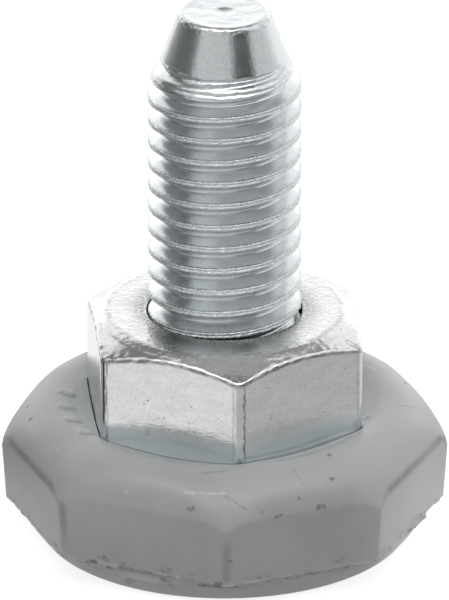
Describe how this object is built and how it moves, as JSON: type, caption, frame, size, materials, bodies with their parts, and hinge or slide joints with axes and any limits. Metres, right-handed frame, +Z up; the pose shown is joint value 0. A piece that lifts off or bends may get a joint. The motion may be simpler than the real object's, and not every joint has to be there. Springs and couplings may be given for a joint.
{
  "type": "furniture leveling foot",
  "caption": "Screw-in furniture leveling foot: a threaded steel stud with a blunt conical point, a hex nut to turn it by, and an octagonal grey plastic foot moulded round the nut.",
  "frame": {"origin": "centre of the foot's underside, at floor level, on the stud's axis", "axes": "+Z up along the stud towards its point; corners of the octagonal foot point along +X, -X and +Y, and one within a degree of -Y, which is the front"},
  "size_m": [0.0288, 0.0288, 0.0359],
  "materials": {
    "stud_zinc": "bright zinc plate on a rolled thread",
    "nut_zinc": "bright zinc plate on a cold-formed nut",
    "foot_plastic": "satin moulded grey plastic"
  },
  "bodies": {
    "foot": {"foot_body": "foot_plastic", "hex_nut": "nut_zinc"},
    "stud": {"threaded_stud": "stud_zinc"}
  },
  "joints": [
    {"name": "stud_height", "type": "slide", "parent": "foot", "child": "stud", "axis": [0, 0, 1], "range_m": [0, 0.0045]}
  ]
}
